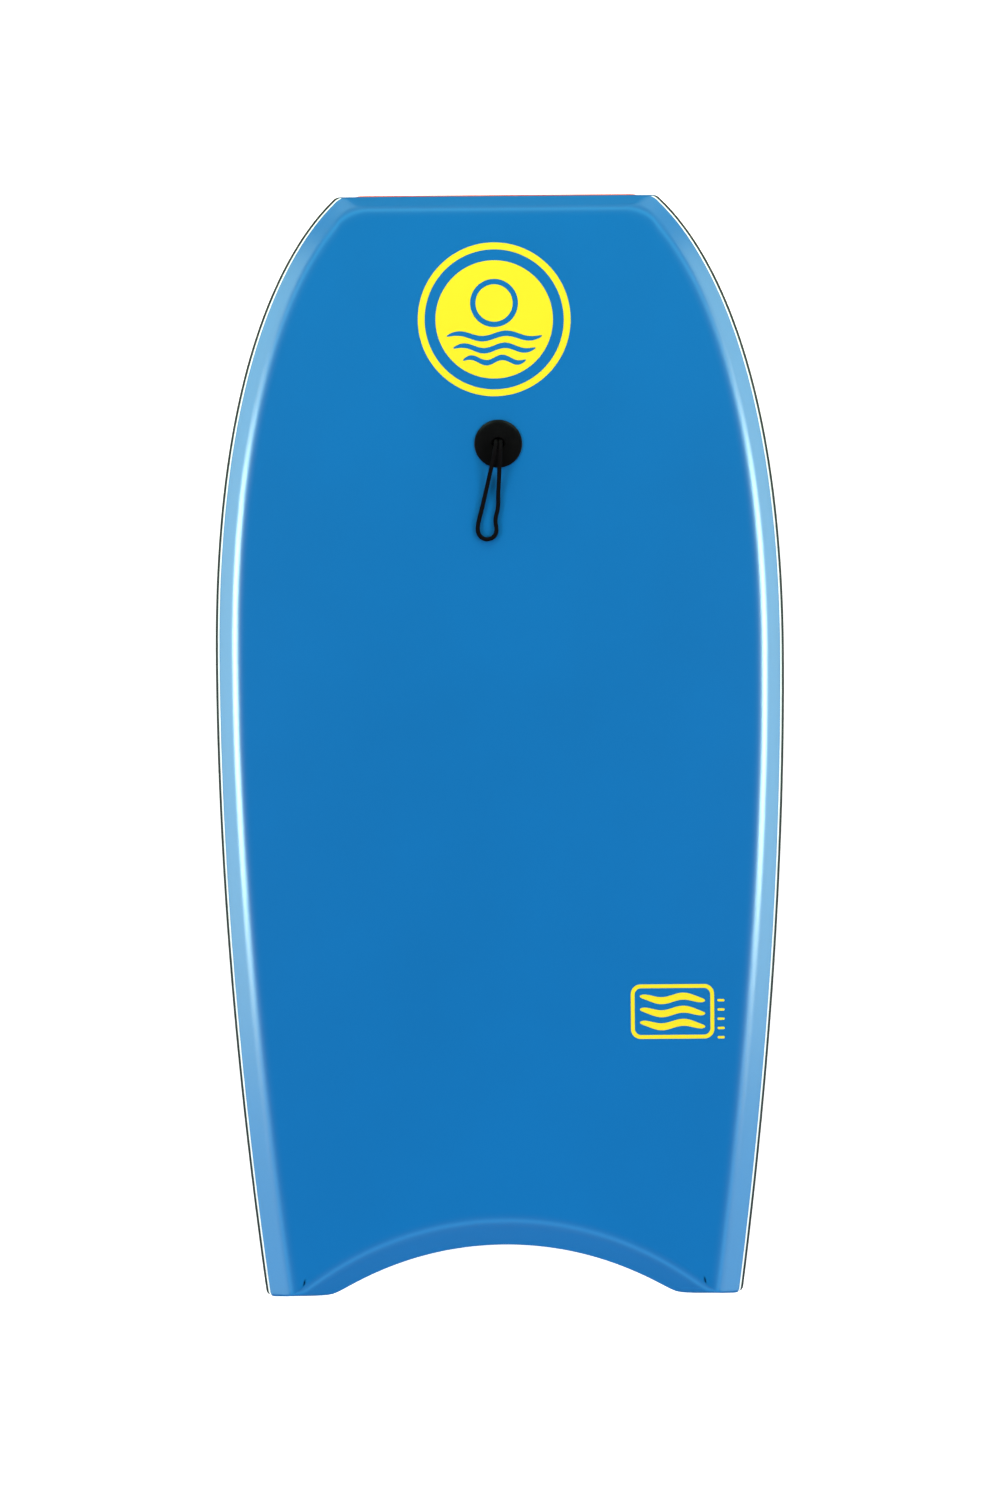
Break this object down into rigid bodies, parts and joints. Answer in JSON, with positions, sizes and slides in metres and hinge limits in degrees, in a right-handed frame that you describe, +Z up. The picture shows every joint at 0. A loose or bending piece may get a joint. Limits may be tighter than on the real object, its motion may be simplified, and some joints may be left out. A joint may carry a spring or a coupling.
{
  "type": "bodyboard",
  "caption": "Foam bodyboard with a blunt nose, chined deck, crescent tail, hard slick underside and a leash plug with a cord loop.",
  "frame": {"origin": "under the middle of the board, on the surface it lies on", "axes": "+Y along the board towards the nose, +Z up out of the deck, +X to the right for someone looking at the deck with the nose up"},
  "size_m": [0.5254, 1.016, 0.0685],
  "materials": {
    "deck_foam": "smooth closed-cell polyethylene foam with a fine pebbled skin, satin",
    "bumper_foam": "closed-cell polyethylene foam strip, satin",
    "core_foam": "expanded polystyrene beads",
    "underlay_foam": "thin polyethylene foam",
    "slick": "smooth HDPE sheet with a soft gloss",
    "rail_white": "closed-cell polyethylene foam strip",
    "rail_dark": "closed-cell polyethylene foam strip",
    "plug_plastic": "moulded black plastic, satin",
    "cord": "braided polyester cord"
  },
  "bodies": {
    "board": {"eps_core": "core_foam", "deck_skin": "deck_foam", "bottom_foam": "underlay_foam", "slick_skin": "slick", "lower_rail_left": "rail_dark", "lower_rail_right": "rail_dark", "rail_stripe_left": "rail_white", "rail_stripe_right": "rail_white", "nose_bumper": "bumper_foam", "tail_bumper": "bumper_foam", "leash_plug_top": "plug_plastic", "leash_plug_base": "plug_plastic"},
    "cord_root": {"leash_knot": "cord"},
    "cord_end": {"leash_loop": "cord"}
  },
  "joints": [
    {"name": "cord_swivel", "type": "hinge", "parent": "board", "child": "cord_root", "pos_m": [0, 0.2753, 0.05435], "axis": [0, -0.0269, 0.9996], "continuous": true},
    {"name": "cord_lift", "type": "hinge", "parent": "cord_root", "child": "cord_end", "pos_m": [0, 0.27513, 0.06445], "axis": [-1, 0, 0], "range_deg": [0, 90]}
  ]
}
